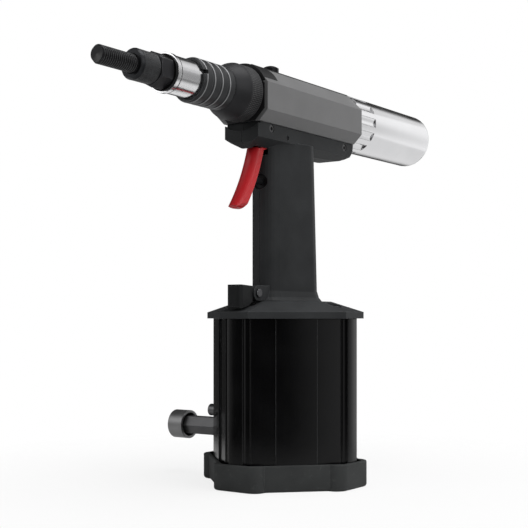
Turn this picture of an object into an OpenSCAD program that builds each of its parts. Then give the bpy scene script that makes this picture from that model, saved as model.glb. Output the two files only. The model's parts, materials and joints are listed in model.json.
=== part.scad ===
// Hand-held hydro-pneumatic rivet nut tool, in millimetres.
// +X points to the nose, +Y to the tool's left and +Z up.
// The origin is the middle of the foot, on the surface that the tool stands on.

/* [Foot and air cylinder] */
// Bore of the air cylinder
air_bore_d = 66; // [62:1:72]
// Wall between the bore and a wide face
flat_wall = 9; // [8:0.5:12]
// Wall between the bore and the face of a corner lobe
lobe_wall = 18; // [17:0.5:21]
// Height of the raised panel on each wide face
panel_rise = 1; // [0.5:0.25:1.5]
// Width of the raised panel on each wide face
rib_w = 25; // [20:1:30]
// Height of the underside of the top plate above the floor
base_h = 103; // [98:1:112]
// Height of the rubber foot
foot_h = 16; // [13:1:20]
// Thickness of the rubber under the end cover
foot_floor = 3; // [2:0.5:4]
// Thickness of the rubber round the cylinder
foot_skin = 2.5; // [2:0.25:4]
// Thickness of the end cover
cover_t = 6; // [5:0.5:8]
// Diameter of the four tie screws
tie_d = 6; // [5:0.5:7]

/* [Top plate] */
// Thickness of the plate at its rim
rim_t = 4; // [3:0.5:6]
// Rise of the plate from its rim to the grip
plate_rise = 6.5; // [5:0.5:9]
// Depth of the spigot that centres the plate in the bore
spigot_h = 6; // [4:0.5:8]

/* [Grip] */
// Height of the head's axis above the underside of the top plate
axis_h = 134; // [130:1:145]
// Distance from the cylinder's axis to the front of the grip
grip_reach = 26; // [24:0.5:28]
// Distance from the cylinder's axis to the back of the grip
grip_tail = 24.5; // [22:0.5:28]
// Width of the grip
grip_w = 29; // [27:0.5:33]
// Radius of the front of the grip
grip_nose_r = 10; // [9:0.5:11]
// Taper of the back of the grip towards the head
grip_taper = 4.5; // [2:0.5:6]

/* [Head] */
// Distance from the cylinder's axis to the front of the head
head_front = 44.5; // [43:0.5:48]
// Distance from the cylinder's axis to the back of the head
head_back = 66; // [63:0.5:70]
// Width over the two side panels
head_w = 38.4; // [38:0.2:42]
// Wall of the side panels
panel_t = 2.2; // [1.8:0.1:2.5]
// Height of the flat of a side panel above the axis
flat_up = 6; // [5.5:0.25:8]
// Depth of the flat of a side panel below the axis
flat_down = 10.5; // [9:0.5:12]
// Drop of the lower edge of the panels below the axis
panel_drop = 16.5; // [16.25:0.25:18]
// Width of the spine between the side panels
spine_w = 17.8; // [16:0.2:20]
// Width of the chin and the body under the panels
chin_w = 24.8; // [24:0.2:28]
// Drop of the keel below the axis
keel_drop = 31.4; // [30.5:0.25:34]

/* [Hydraulics] */
// Bore of the pull cylinder
pull_bore_d = 27; // [26:0.5:27.5]
// Diameter of the pull piston's rod
rod_d = 15; // [14:0.25:15.5]
// Stroke of the pull piston
pull_stroke = 7; // [5:0.5:8]
// Diameter of the plunger in the grip
plunger_d = 10; // [9.5:0.25:11]
// Outer diameter of the pressure tube
tube_d = 18; // [17:0.25:18.5]
// Thickness of the air piston
air_piston_t = 12; // [10:0.5:14]

/* [Nose] */
// Outer diameter of the nose sleeve
sleeve_d = 21.2; // [20.8:0.1:22.5]
// Distance to the front of the nose sleeve
sleeve_end = 113; // [110:0.5:117]
// Diameter of the knurled adjusting ring
knurl_d = 33.6; // [31:0.2:36]
// Diameter over the ribs of the ribbed sleeve
rib_d = 25.8; // [25.2:0.2:28]
// Width across the flats of the lock nut
nut_af = 17; // [16.5:0.25:20]
// Thickness of the lock nut
nut_t = 10; // [8:0.5:12]
// Diameter of the anvil
anvil_d = 17; // [15.5:0.25:19]
// Length of the anvil's head
anvil_l = 15; // [12:0.5:18]
// Diameter of the mandrel's thread
mandrel_d = 10; // [8:0.5:10]
// Length of the mandrel in front of the anvil
mandrel_out = 26; // [22:1:34]

/* [Air motor] */
// Diameter of the motor housing
cup_d = 37.4; // [37:0.2:38]
// Wall of the motor housing
cup_wall = 2.2; // [2:0.1:2.6]
// Distance to the back of the motor housing
cup_end = 170; // [166:1:180]
// Length of the fluted front of the motor housing
flute_l = 20; // [15:1:30]
// Diameter of the rotor
rotor_d = 22; // [18:0.5:22.5]
// Length of the rotor
rotor_l = 39; // [34:1:42]

/* [Trigger and lever] */
// Width of the trigger
trigger_w = 10; // [9:0.5:12]
// Length of the trigger's blade
blade_l = 43; // [38:1:46]
// Thickness of the trigger's blade at its root
blade_t = 6.4; // [5:0.2:7.5]
// Diameter of the trigger's pin
pin_d = 3; // [2.5:0.25:3.5]
// Width of the stop lever
lever_w = 10.6; // [9.6:0.2:12]
// Height of the stop lever's free end
lever_h = 13; // [11:0.5:14]
// Length of the stop lever in front of its pin
lever_l = 17.5; // [15:0.5:20]

/* [Air inlet] */
// Height of the air inlet above the floor
inlet_z = 32; // [28:1:40]
// Width across the flats of the inlet's stem
stem_af = 11.4; // [10.5:0.1:12]
// Length of the inlet's stem outside the cylinder
stem_l = 28; // [24:1:34]
// Diameter of the swivel collar
collar_d = 18.8; // [17.8:0.2:22]
// Length of the swivel collar
collar_l = 11.5; // [10:0.5:14]

/* [Hidden] */
$fn = 64;

// Radial clearance of a sliding or turning fit
run_gap = 0.05;
// Clearance of pieces that are seated on each other
seat_gap = 0.1;
// Clearance of pieces that pass each other freely
free_gap = 0.3;
// Half of the seam between the two mouldings
seam = 0.2;

air_r = air_bore_d / 2;
tube_flat = air_r + flat_wall;
tube_lobe = air_r + lobe_wall;
tube_face = tube_flat + panel_rise;
tie_r = tie_d / 2;
tie_wall = 1.8;
tie_hole_r = tie_r + free_gap;
tie_circle = air_r + tie_wall + tie_hole_r;
tie_head_r = tie_r + 2;
tie_head_h = tie_d - 1;
foot_lobe = tube_lobe + foot_skin;
foot_corner = 5;
foot_flat = tube_face + foot_skin + 1;
cover_top = foot_floor + cover_t;
cover_spigot = 4;
plate_lobe = tube_lobe + 1.5;
plate_flat = tube_face + 1.5;
plate_top = base_h + rim_t + plate_rise;
tie_seat = base_h + rim_t / 2 + 0.5;

axis_z = base_h + axis_h;
grip_r = grip_w / 2;
grip_back_r = 10;
grip_wall = 4.5;
grip_flare = 3;
grip_flare_h = 6;
pocket_w = 14;
pocket_h = 60;
grip_pad_x = grip_reach + 5;
grip_pad_y = grip_r + 12.5;

head_half = head_w / 2;
spine_half = spine_w / 2;
chin_half = chin_w / 2;
chin_side = keel_drop - 5.6;
spine_top = 17.4;
body_top = panel_drop + seat_gap;
block_t = panel_t + seat_gap;
head_rear_x = -head_back;
cup_x = head_rear_x - free_gap;
collar_rim = (head_half + flat_up) / sqrt(2) + 0.8;
collar_l_top = 14.5;

pull_r = pull_bore_d / 2;
rod_r = rod_d / 2;
shaft_af = 7;
shaft_r = shaft_af / 2 / cos(30);
journal_r = 5.6;
journal_l = 10;
plunger_r = plunger_d / 2;
tube_r = tube_d / 2;
// The plunger sweeps the oil that the pull piston takes in
ram_stroke = pull_stroke * (pull_r * pull_r - rod_r * rod_r) / (plunger_r * plunger_r);
piston_z = cover_top + cover_spigot + 1;
piston_top = piston_z + air_piston_t;
tube_seat = panel_drop - 1.6;
plunger_top = base_h + 25;
chamber_x = 5;
pull_face = -4;
pull_head_l = 12;
pull_back = pull_face - pull_head_l;
spring_room = 34;
gear_x = pull_back - spring_room;
gland_l = 24;
gland_front = chamber_x + gland_l;
rod_end = 78;

sleeve_r = sleeve_d / 2;
sleeve_step = rod_end - pull_stroke - 1;
chuck_r = sleeve_r - 1.7;
chuck_x = rod_end + seat_gap;
chuck_end = sleeve_end - 7;
socket_l = 14;
oring_t = 0.8;
ring_x = sleeve_end + oring_t;
ring_end = ring_x + 2.8;
nut_x = ring_end + oring_t;
nut_end = nut_x + nut_t;
anvil_x = nut_end + seat_gap;
anvil_end = anvil_x + anvil_l;
mandrel_r = mandrel_d / 2;
shank_r = mandrel_r - 0.5;
thread_x = anvil_end + 0.6;
mandrel_tip = anvil_end + mandrel_out;
mandrel_root = chuck_x + socket_l + 0.4;
stem_r = mandrel_r + 1.8;
knurl_x = head_front + 0.5;
knurl_l = 12.5;
cone_l = 9;
knurl_end = knurl_x + knurl_l + cone_l;
rib_n = 4;
rib_pitch = 7;
rib_end = knurl_end + rib_n * rib_pitch + 1;
ring_bore = sleeve_r + seat_gap;

cup_r = cup_d / 2;
cup_in = cup_r - cup_wall;
fit_r = cup_in - seat_gap;
block_spigot = 4;
gear_step = head_rear_x - block_spigot - seat_gap;
gear_end = gear_step - 14;
plate_l = 4;
front_plate_x = gear_end - seat_gap;
liner_x = front_plate_x - plate_l - seat_gap;
rotor_x = liner_x - free_gap;
liner_l = rotor_l + 2 * free_gap;
rear_plate_x = liner_x - liner_l - seat_gap;
motor_shaft_r = 4;
rotor_r = rotor_d / 2;
liner_r = rotor_r + 1.6;
liner_shift = 1.2;
silencer_x = rear_plate_x - plate_l - seat_gap;
cup_back_t = 3;

pin_r = pin_d / 2;
pin_x = tube_r + 4.2;
pin_drop = 23;
arm_l = 18.3;
blade_x = pin_x + arm_l;
blade_drop = keel_drop - 0.4;
blade_r = 115;
blade_lean = 17;
blade_turn = blade_l / blade_r * 180 / PI;
arm_w = trigger_w - 1;
trigger_rib = 2.2;
valve_drop = 50;
valve_r = 5;
valve_x = tube_r + 1;
valve_end = grip_reach - 2.2;
valve_stem_r = 2;
clamp_front = [head_front - 14.3, -panel_drop - 3];
clamp_rear = [11 - head_back, -panel_drop - 3.6];
clamp_head_r = 2.4;
clamp_r = 1.4;
lever_pin_r = 1.6;
ear_r = 4.6;
ear_t = 2.6;
lever_boss_r = 4.2;
lever_boss = 3.2;
lever_rise = 4.8;
lever_pin = [grip_reach + 9.5, plate_top + ear_r + free_gap];
ear_in = lever_boss + free_gap;

inlet_root = tie_circle + tie_hole_r + 1.5;
inlet_r = 6;
stem_hex_r = stem_af / 2 / cos(30);
stem_end = tube_lobe + stem_l;
collar_y = stem_end - 3.5;
collar_r = collar_d / 2;
collar_wall = 1.6;
swivel_r = 4;
collar_pocket = stem_end - collar_y + 3.5;
vent_z = inlet_z + 10.8;
vent_x = 1;
vent_r = 3.9;
vent_shank_r = 2.5;

// Square turned by 45 degrees with its corners cut off at the lobes
module lobed(lobe, flat) {
    intersection() {
        square(2 * lobe, center = true);
        rotate(45) square(2 * flat, center = true);
    }
}

// Lobed outline with round corners
module soft_lobed(lobe, flat, r) {
    half = flat * sqrt(2) - lobe;
    cut = r * tan(22.5);
    points = [for (turn = [0:90:270])
        each [for (p = [[lobe, cut - half], [lobe, half - cut], [lobe - cut / sqrt(2), half + cut / sqrt(2)],
            [half + cut / sqrt(2), lobe - cut / sqrt(2)]])
            [p[0] * cos(turn) - p[1] * sin(turn), p[0] * sin(turn) + p[1] * cos(turn)]]];
    polygon(points);
    for (turn = [0:90:270], side = [-1, 1])
        rotate(turn) translate([lobe - r, side * (half - cut)]) circle(r);
}

// Places its children at the eight corners of a lobed outline
module at_lobe_corners(lobe, flat) {
    half = flat * sqrt(2) - lobe;
    for (turn = [0:90:270], side = [-1, 1])
        rotate(turn) translate([lobe, side * half]) children();
}

// Places its children at the four tie screws
module at_ties() {
    for (turn = [0:90:270]) rotate(turn) translate([tie_circle, 0, 0]) children();
}

// Cylinder along the head's axis
module bar_x(from, to, r) {
    translate([min(from, to), 0, axis_z]) rotate([0, 90, 0]) cylinder(h = abs(to - from), r = r);
}

// Cylinder across the tool at a place beside the head's axis
module bar_y(at, from, to, r) {
    translate([at[0], to, axis_z + at[1]]) rotate([90, 0, 0]) cylinder(h = to - from, r = r);
}

// Turned piece on the head's axis, from points of radius and distance
module turned(points) {
    translate([0, 0, axis_z]) rotate([0, 90, 0]) rotate_extrude() polygon(points);
}

// Round wire wound to a coil between two heights, with its first and last turns lying flat
module coil(r, wire, length, turns) {
    steps = turns * 14;
    sides = 6;
    rise = length - 2 * wire;
    points = [for (i = [0:steps], j = [0:sides - 1])
        let (turn = 360 * turns * i / steps, side = 360 * j / sides, far = r + wire * cos(side))
        [far * cos(turn), far * sin(turn), wire + rise * i / steps + wire * sin(side)]];
    walls = [for (i = [0:steps - 1], j = [0:sides - 1])
        let (a = i * sides, b = a + sides, n = (j + 1) % sides)
        [a + j, a + n, b + n, b + j]];
    first = [for (j = [0:sides - 1]) sides - 1 - j];
    last = [for (j = [0:sides - 1]) steps * sides + j];
    polyhedron(points, concat([first], walls, [last]));
}

// Rubber boot that the tool stands on
module foot() {
    edge = 1.6;
    groove = 0.8;
    color("#54575a") difference() {
        union() {
            translate([0, 0, edge]) linear_extrude(foot_h - edge) soft_lobed(foot_lobe, foot_flat, foot_corner);
            hull() for (level = [0, 1, 2])
                translate([0, 0, level * edge / 2]) linear_extrude(0.1)
                    soft_lobed(foot_lobe - edge * (2 - level) * (3 - level) / 6,
                        foot_flat - edge * (2 - level) * (3 - level) / 6, foot_corner);
        }
        translate([0, 0, foot_floor]) linear_extrude(foot_h) lobed(tube_lobe + seat_gap, tube_face + seat_gap);
        translate([0, 0, -1]) linear_extrude(foot_h + 2)
            at_lobe_corners(foot_lobe, foot_flat) rotate(45) square(2 * groove, center = true);
    }
}

// Plate that closes the cylinder from below and takes the tie screws
module end_cover() {
    color("#8a8d90") difference() {
        union() {
            translate([0, 0, foot_floor]) linear_extrude(cover_t) lobed(tube_lobe - 0.5, tube_flat - 0.5);
            cylinder(h = cover_top + cover_spigot, r = air_r - seat_gap);
        }
        translate([0, 0, -1]) cylinder(h = foot_floor + 1, r = air_r + 1);
        at_ties() cylinder(h = base_h, r = tie_r + run_gap);
    }
}

// Extruded tube with four corner lobes, raised panels and a groove beside each lobe
module air_cylinder() {
    groove_r = 3.1;
    color("#1d1f21") difference() {
        translate([0, 0, cover_top]) linear_extrude(base_h - cover_top) difference() {
            union() {
                lobed(tube_lobe, tube_flat);
                for (turn = [45, 135]) rotate(turn) square([2 * tube_face, rib_w], center = true);
            }
            at_lobe_corners(tube_lobe, tube_flat) circle(groove_r);
            circle(air_r);
            at_ties() circle(tie_hole_r);
        }
        translate([0, -inlet_root, inlet_z]) rotate([90, 0, 0]) cylinder(h = tube_lobe, r = inlet_r + run_gap);
        translate([vent_x, -tube_lobe + 6, vent_z]) rotate([90, 0, 0]) cylinder(h = 20, r = vent_shank_r + run_gap);
    }
}

// Plate that closes the cylinder from above and carries the grip
module top_plate() {
    color("#4b4e51") difference() {
        union() {
            hull() {
                translate([0, 0, base_h]) linear_extrude(rim_t) lobed(plate_lobe, plate_flat);
                translate([0, 0, plate_top - 1]) linear_extrude(1) lobed(grip_pad_x, grip_pad_y);
            }
            translate([0, 0, base_h - spigot_h]) cylinder(h = spigot_h + 1, r = air_r - seat_gap);
        }
        cylinder(h = 2 * axis_z, r = tube_r + run_gap);
        at_ties() {
            cylinder(h = axis_z, r = tie_hole_r);
            translate([0, 0, tie_seat]) cylinder(h = axis_z, r = tie_head_r + free_gap);
        }
    }
}

// Four socket screws that clamp the plate, the cylinder and the end cover together
module tie_screws() {
    color("#26282a") at_ties() difference() {
        union() {
            translate([0, 0, foot_floor + 1]) cylinder(h = tie_seat - foot_floor - 1, r = tie_r);
            translate([0, 0, tie_seat]) cylinder(h = tie_head_h, r = tie_head_r);
        }
        translate([0, 0, tie_seat + tie_head_h / 2]) cylinder(h = tie_head_h, r = tie_head_r * 0.58, $fn = 6);
    }
}

// Steel tube in the grip that the plunger forces oil through
module pressure_tube() {
    color("#9a9da0") translate([0, 0, base_h]) difference() {
        cylinder(h = axis_h - tube_seat, r = tube_r);
        translate([0, 0, -1]) cylinder(h = axis_h, r = plunger_r + run_gap);
    }
}

// Bush that seals the plunger below the pressure tube
module gland_bush() {
    color("#b08d4f") translate([0, 0, base_h - spigot_h]) difference() {
        cylinder(h = spigot_h, r = tube_r);
        translate([0, 0, -1]) cylinder(h = spigot_h + 2, r = plunger_r + run_gap);
    }
}

// Disc that the compressed air drives up
module air_piston() {
    groove = 2.5;
    color("#a5a8ab") translate([0, 0, piston_z]) difference() {
        cylinder(h = air_piston_t, r = air_r - run_gap);
        translate([0, 0, (air_piston_t - groove) / 2]) difference() {
            cylinder(h = groove, r = air_r + 1);
            translate([0, 0, -1]) cylinder(h = groove + 2, r = air_r - 2.5);
        }
        translate([0, 0, -1]) cylinder(h = air_piston_t + 2, r = plunger_r - 1);
    }
}

// Ring in the groove of the air piston
module piston_seal() {
    height = 2.3;
    color("#2a2a2a") translate([0, 0, piston_z + (air_piston_t - height) / 2]) difference() {
        cylinder(h = height, r = air_r - run_gap);
        translate([0, 0, -1]) cylinder(h = height + 2, r = air_r - 2.4);
    }
}

// Rod that the air piston pushes into the pressure tube
module plunger_rod() {
    color("#c4c7ca") union() {
        translate([0, 0, piston_top]) cylinder(h = plunger_top - piston_top, r = plunger_r);
        translate([0, 0, piston_z + 1]) cylinder(h = air_piston_t - 1, r = plunger_r - 1 - run_gap);
    }
}

// Spring that brings the air piston back down
module return_spring() {
    color("#8f9295") translate([0, 0, piston_top + 0.2])
        coil(tube_r + 7, 1.5, base_h - spigot_h - piston_top - 0.4, 7);
}

// Closed outline of the grip, from the top plate into the body
module grip_solid() {
    back_y = grip_r - grip_back_r;
    top = axis_h - keel_drop + 6;
    slice = 0.5;
    for (step = [0, 1]) hull() {
        for (level = [0, 1]) translate([0, 0, plate_top + grip_flare_h * [0, 0.35, 1][step + level]]) {
            wider = grip_flare * [1, 0.4, 0][step + level];
            translate([grip_reach - grip_nose_r, 0, 0]) cylinder(h = slice, r = grip_nose_r + wider, $fn = 32);
            for (side = [-1, 1]) translate([grip_back_r - grip_tail, side * back_y, 0])
                cylinder(h = slice, r = grip_back_r + wider, $fn = 32);
        }
    }
    hull() {
        for (level = [0, 1]) translate([0, 0, level == 0 ? plate_top : base_h + top]) {
            translate([grip_reach - grip_nose_r, 0, 0]) cylinder(h = slice, r = grip_nose_r, $fn = 32);
            for (side = [-1, 1])
                translate([grip_back_r - grip_tail + level * grip_taper, side * back_y, 0])
                    cylinder(h = slice, r = grip_back_r, $fn = 32);
        }
    }
}

// Side view of the body under the panels, relative to the head's axis
module body_side() {
    sweep = 14;
    lift = 2.4;
    polygon(concat(
        [[head_front, -body_top], [head_front, -keel_drop + 3], [head_front - 4, -keel_drop]],
        [for (a = [0:15:90])
            [head_rear_x + sweep - sweep * sin(a), lift - keel_drop + (sweep - lift) * (1 - cos(a))]],
        [[head_rear_x, -body_top]]));
}

// Front view of the body under the panels, relative to the head's axis
module body_front() {
    keel = 3;
    polygon([[-chin_half, -body_top], [chin_half, -body_top], [chin_half, -chin_side],
        [keel, -keel_drop], [-keel, -keel_drop], [-chin_half, -chin_side]]);
}

// Ear on the front of the grip that holds the stop lever's screw
module lever_ear() {
    top = lever_pin[1] + ear_r;
    root = grip_reach - grip_nose_r;
    translate([root, ear_in, lever_pin[1] - ear_r]) cube([lever_pin[0] - root, ear_t, 2 * ear_r]);
    translate([lever_pin[0], ear_in + ear_t, lever_pin[1]]) rotate([90, 0, 0]) cylinder(h = ear_t, r = ear_r);
}

// Solid of the grip and the body under the head, with its bores and pockets
module grip_body() {
    slot_top = -pin_drop - free_gap;
    slot_w = trigger_w + 2 * free_gap;
    relief_r = knurl_d / 2 + 4.9;
    difference() {
        union() {
            grip_solid();
            intersection() {
                translate([0, head_w, axis_z]) rotate([90, 0, 0]) linear_extrude(2 * head_w) body_side();
                translate([-2 * head_back, 0, axis_z]) rotate([90, 0, 90])
                    linear_extrude(4 * head_back) body_front();
            }
            for (side = [0, 1]) mirror([0, side, 0]) lever_ear();
        }
        cylinder(h = 2 * axis_z, r = tube_r + seat_gap);
        bar_x(head_front - 2.5, head_front + 5, relief_r);
        translate([pin_x - 3.4, -slot_w / 2, axis_z - keel_drop - 2.5])
            cube([head_front - 6 - pin_x + 3.4, slot_w, keel_drop + 2.5 + slot_top]);
        bar_y([pin_x, -pin_drop], -slot_w / 2, slot_w / 2, 3.8);
        bar_y([pin_x, -pin_drop], -head_w, head_w, pin_r + run_gap);
        translate([valve_x, 0, axis_z - valve_drop]) rotate([0, 90, 0]) cylinder(h = 2 * grip_reach, r = valve_r + run_gap);
        for (at = [clamp_front, clamp_rear]) {
            bar_y(at, -head_w, head_w, clamp_r + run_gap);
            bar_y(at, chin_half - 2, head_w, clamp_head_r + seat_gap);
            bar_y(at, -head_w, 2 - chin_half, clamp_head_r + seat_gap);
        }
        translate([lever_pin[0], head_w, lever_pin[1]]) rotate([90, 0, 0])
            cylinder(h = 2 * head_w, r = lever_pin_r + run_gap);
        translate([grip_wall - grip_tail, -pocket_w / 2, plate_top + 6])
            cube([grip_tail - grip_wall - tube_r - 2.5, pocket_w, pocket_h]);
    }
}

// Left moulding of the grip and body
module grip_left() {
    color("#4a4d50") intersection() {
        grip_body();
        translate([-2 * head_back, seam, 0]) cube([4 * head_back, head_w, 2 * axis_z]);
    }
}

// Right moulding of the grip and body
module grip_right() {
    color("#4a4d50") intersection() {
        grip_body();
        translate([-2 * head_back, -head_w - seam, 0]) cube([4 * head_back, head_w, 2 * axis_z]);
    }
}

// Half of the head's outline, offset inwards, as points from bottom to top
function head_half_points(inset, bottom, top_y) =
    let (side = head_half - inset,
        low = head_half + flat_down - inset * sqrt(2),
        high = head_half + flat_up - inset * sqrt(2))
    [[low - bottom, -bottom], [side, side - low], [side, high - side], [top_y, high - top_y]];

// Mirror image of a list of points
function mirrored(points) = [for (i = [len(points) - 1:-1:0]) [-points[i][0], points[i][1]]];

// Lies a front view along the head between two places
module along_head(from, to) {
    translate([from, 0, axis_z]) rotate([90, 0, 90]) linear_extrude(to - from) children();
}

// Aluminium block with the pull cylinder, seen as the black spine between the panels
module head_block() {
    half = concat(head_half_points(block_t, panel_drop, spine_half - seat_gap),
        [[spine_half - seat_gap, spine_top - 1.2], [spine_half - seat_gap - 1.2, spine_top]]);
    color("#2b2d2f") difference() {
        union() {
            along_head(head_rear_x, head_front) polygon(concat(half, mirrored(half)));
            bar_x(head_rear_x - block_spigot, head_rear_x + 0.02, fit_r);
            collar_room(collar_rim, 0);
        }
        bar_x(-2 * head_back, head_front + 1, pull_r);
        translate([0, 0, axis_z - panel_drop - 1]) cylinder(h = panel_drop + 1 - tube_seat, r = tube_r + run_gap);
        translate([0, 0, axis_z - panel_drop]) cylinder(h = 5, r = 2.5);
        translate([oil_plug_x, 0, axis_z]) cylinder(h = 2 * spine_top, r = oil_plug_r + run_gap);
    }
}
oil_plug_x = 14;
oil_plug_r = 2.5;

// Upper part of the round collar at the front of the head, or the room for it
module collar_room(r, gap) {
    low = flat_up + 0.6 - gap;
    intersection() {
        bar_x(head_front - collar_l_top - gap, head_front + 10 * gap, r + gap);
        translate([0, -head_w, axis_z + low]) cube([head_front + 10, 2 * head_w, head_w]);
    }
}

// Grey cover on one side of the head
module side_panel() {
    outer = head_half_points(0, panel_drop, spine_half);
    inner = head_half_points(panel_t, panel_drop, spine_half);
    difference() {
        along_head(head_rear_x, head_front)
            polygon(concat(outer, [for (i = [len(inner) - 1:-1:0]) inner[i]]));
        collar_room(collar_rim, seat_gap);
    }
}

module panel_left() {
    color("#a8a9ab") side_panel();
}

module panel_right() {
    color("#a8a9ab") mirror([0, 1, 0]) side_panel();
}

// Domed screw on the spine that closes the oil filling hole
module oil_plug() {
    dome_r = 5.2;
    dome_h = 5.4;
    color("#202224") translate([oil_plug_x, 0, axis_z + spine_top]) {
        intersection() {
            cylinder(h = dome_h, r = dome_r);
            translate([0, 0, dome_h - 9]) sphere(r = 9);
        }
        translate([0, 0, -2]) cylinder(h = 3, r = oil_plug_r);
    }
}

// Screws that clamp the two mouldings together, with a head on each side
module clamp_screws() {
    head_h = 1.6;
    color("#1c1e20") for (at = [clamp_front, clamp_rear]) difference() {
        union() {
            bar_y(at, 2 - chin_half, chin_half - 2, clamp_r);
            for (side = [0, 1]) mirror([0, side, 0]) bar_y(at, chin_half - 2, chin_half - 2 + head_h, clamp_head_r);
        }
        for (side = [0, 1]) mirror([0, side, 0]) translate([at[0], chin_half, axis_z + at[1]]) rotate([90, 0, 0])
            cylinder(h = 1.4, r = clamp_head_r * 0.5, $fn = 6);
    }
}

// Bush that seals the pull piston's rod at the front of the cylinder
module cylinder_gland() {
    color("#b08d4f") difference() {
        bar_x(chamber_x, gland_front, pull_r - run_gap);
        bar_x(chamber_x - 1, gland_front + 1, rod_r + run_gap);
    }
}

// Piston that pulls the mandrel back, with its hollow rod
module pull_piston() {
    groove = 2.4;
    color("#b7babd") difference() {
        union() {
            bar_x(pull_back, pull_face, pull_r - run_gap);
            bar_x(pull_face, rod_end, rod_r);
        }
        bar_x(pull_back - 1, rod_end + 1, shaft_r + 0.2);
        difference() {
            bar_x(pull_back + 5, pull_back + 5 + groove, pull_r + 1);
            bar_x(pull_back, pull_face, pull_r - 2.2);
        }
    }
}

// Seal ring in the groove of the pull piston
module piston_ring() {
    color("#2a2a2a") difference() {
        bar_x(pull_back + 5 + seat_gap, pull_back + 7.4 - seat_gap, pull_r - run_gap);
        bar_x(pull_back, pull_face, pull_r - 2.2 + seat_gap);
    }
}

// Spring that brings the pull piston forward
module pull_spring() {
    color("#8f9295") translate([gear_x + 0.2, 0, axis_z]) rotate([0, 90, 0])
        coil(pull_r - 3.5, 1.4, pull_back - gear_x - 0.4, 6);
}

// Hexagonal shaft from the gear case through the pull piston into the chuck
module drive_shaft() {
    tip = chuck_x + 5;
    color("#9a9da0") union() {
        translate([gear_x - 1, 0, axis_z]) rotate([0, 90, 0]) cylinder(h = tip - gear_x + 1, r = shaft_r, $fn = 6);
        bar_x(gear_x - journal_l, gear_x, journal_r);
    }
}

// Closed case of the reduction gear between the motor and the shaft
module gear_case() {
    color("#6d7073") difference() {
        union() {
            bar_x(gear_step - 1, gear_x, pull_r - seat_gap);
            bar_x(gear_end, gear_step, fit_r);
        }
        bar_x(gear_x - journal_l - 0.2, gear_x + 1, journal_r + run_gap);
        bar_x(gear_end - 1, gear_end + 9, motor_shaft_r + run_gap);
    }
}

// Disc in the motor housing with a bore for the rotor's shaft
module motor_plate(at) {
    difference() {
        bar_x(at - plate_l, at, fit_r);
        bar_x(at - plate_l - 1, at + 1, motor_shaft_r + run_gap);
    }
}

module motor_front_plate() {
    color("#7c7f82") motor_plate(front_plate_x);
}

module motor_rear_plate() {
    color("#7c7f82") motor_plate(rear_plate_x);
}

// Liner of the vane motor, bored off centre
module motor_liner() {
    color("#8a8d90") difference() {
        bar_x(liner_x - liner_l, liner_x, fit_r);
        translate([0, 0, liner_shift]) bar_x(liner_x - liner_l - 1, liner_x + 1, liner_r);
    }
}

// Places its children at the slots of the rotor
module at_vanes() {
    for (turn = [0:72:288]) translate([0, 0, axis_z]) rotate([turn, 0, 0]) children();
}

// Rotor of the vane motor with its shaft
module rotor() {
    slot_w = 2.1;
    color("#9a9da0") difference() {
        union() {
            bar_x(rotor_x - rotor_l, rotor_x, rotor_r);
            bar_x(rear_plate_x - plate_l, gear_end + 8, motor_shaft_r);
        }
        at_vanes() translate([rotor_x - rotor_l - 1, -slot_w / 2, 5]) cube([rotor_l + 2, slot_w, rotor_r]);
    }
}

// Vanes in the slots of the rotor
module vanes() {
    vane_w = 1.9;
    color("#8a5a2b") at_vanes() translate([rotor_x - rotor_l, -vane_w / 2, 5.1])
        cube([rotor_l, vane_w, rotor_r - 5]);
}

// Foam that quietens the exhaust air behind the motor
module silencer() {
    color("#77797b") difference() {
        bar_x(cup_back_t + 4 - cup_end, silencer_x, fit_r);
        bar_x(-cup_end, silencer_x + 1, 6);
    }
}

// Bright cup over the motor, fluted at the front and rounded at the back
module motor_housing() {
    corner = 4;
    flutes = 12;
    flute_r = 5.5;
    depth = 1;
    color("#d9dbdd") difference() {
        translate([0, 0, axis_z]) rotate([0, -90, 0]) rotate_extrude() union() {
            translate([0, -cup_x]) square([cup_r, cup_end + cup_x - corner]);
            translate([0, -cup_x]) square([cup_r - corner, cup_end + cup_x]);
            translate([cup_r - corner, cup_end - corner]) circle(corner);
        }
        bar_x(cup_back_t - cup_end, head_back, cup_in);
        for (i = [0:flutes - 1]) translate([0, 0, axis_z]) rotate([360 * i / flutes, 0, 0])
            translate([cup_x - flute_l, 0, cup_r + flute_r - depth]) rotate([0, 90, 0])
                cylinder(h = flute_l + 1, r = flute_r);
        for (i = [0:7]) translate([0, 0, axis_z]) rotate([45 * i, 0, 0])
            translate([-cup_end - 1, 0, cup_in - 5]) rotate([0, 90, 0]) cylinder(h = cup_back_t + 2, r = 1.6);
    }
}

// Bright sleeve that carries the nose, screwed into the head
module nose_sleeve() {
    color("#d9dbdd") difference() {
        union() {
            bar_x(gland_front + seat_gap, head_front, pull_r - run_gap);
            bar_x(head_front - 1, sleeve_end, sleeve_r);
        }
        bar_x(gland_front, sleeve_step, rod_r + run_gap);
        bar_x(sleeve_step, sleeve_end + 1, chuck_r + seat_gap);
    }
}

// Bright flanged bush that closes the sleeve and takes the anvil
module nose_ring() {
    color("#d9dbdd") difference() {
        union() {
            bar_x(chuck_end + 0.6, ring_x + 0.1, chuck_r);
            bar_x(ring_x, ring_end, sleeve_r + 0.5);
        }
        bar_x(chuck_end, ring_end + 1, stem_r + seat_gap);
    }
}

// Rubber rings on both sides of the flange
module nose_seals() {
    color("#18191a") {
        difference() {
            bar_x(sleeve_end, ring_x, sleeve_r + 0.3);
            bar_x(sleeve_end - 1, ring_x + 1, chuck_r + seat_gap);
        }
        difference() {
            bar_x(ring_end, nut_x, sleeve_r - 0.4);
            bar_x(ring_end - 1, nut_x + 1, stem_r + seat_gap);
        }
    }
}

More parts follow.
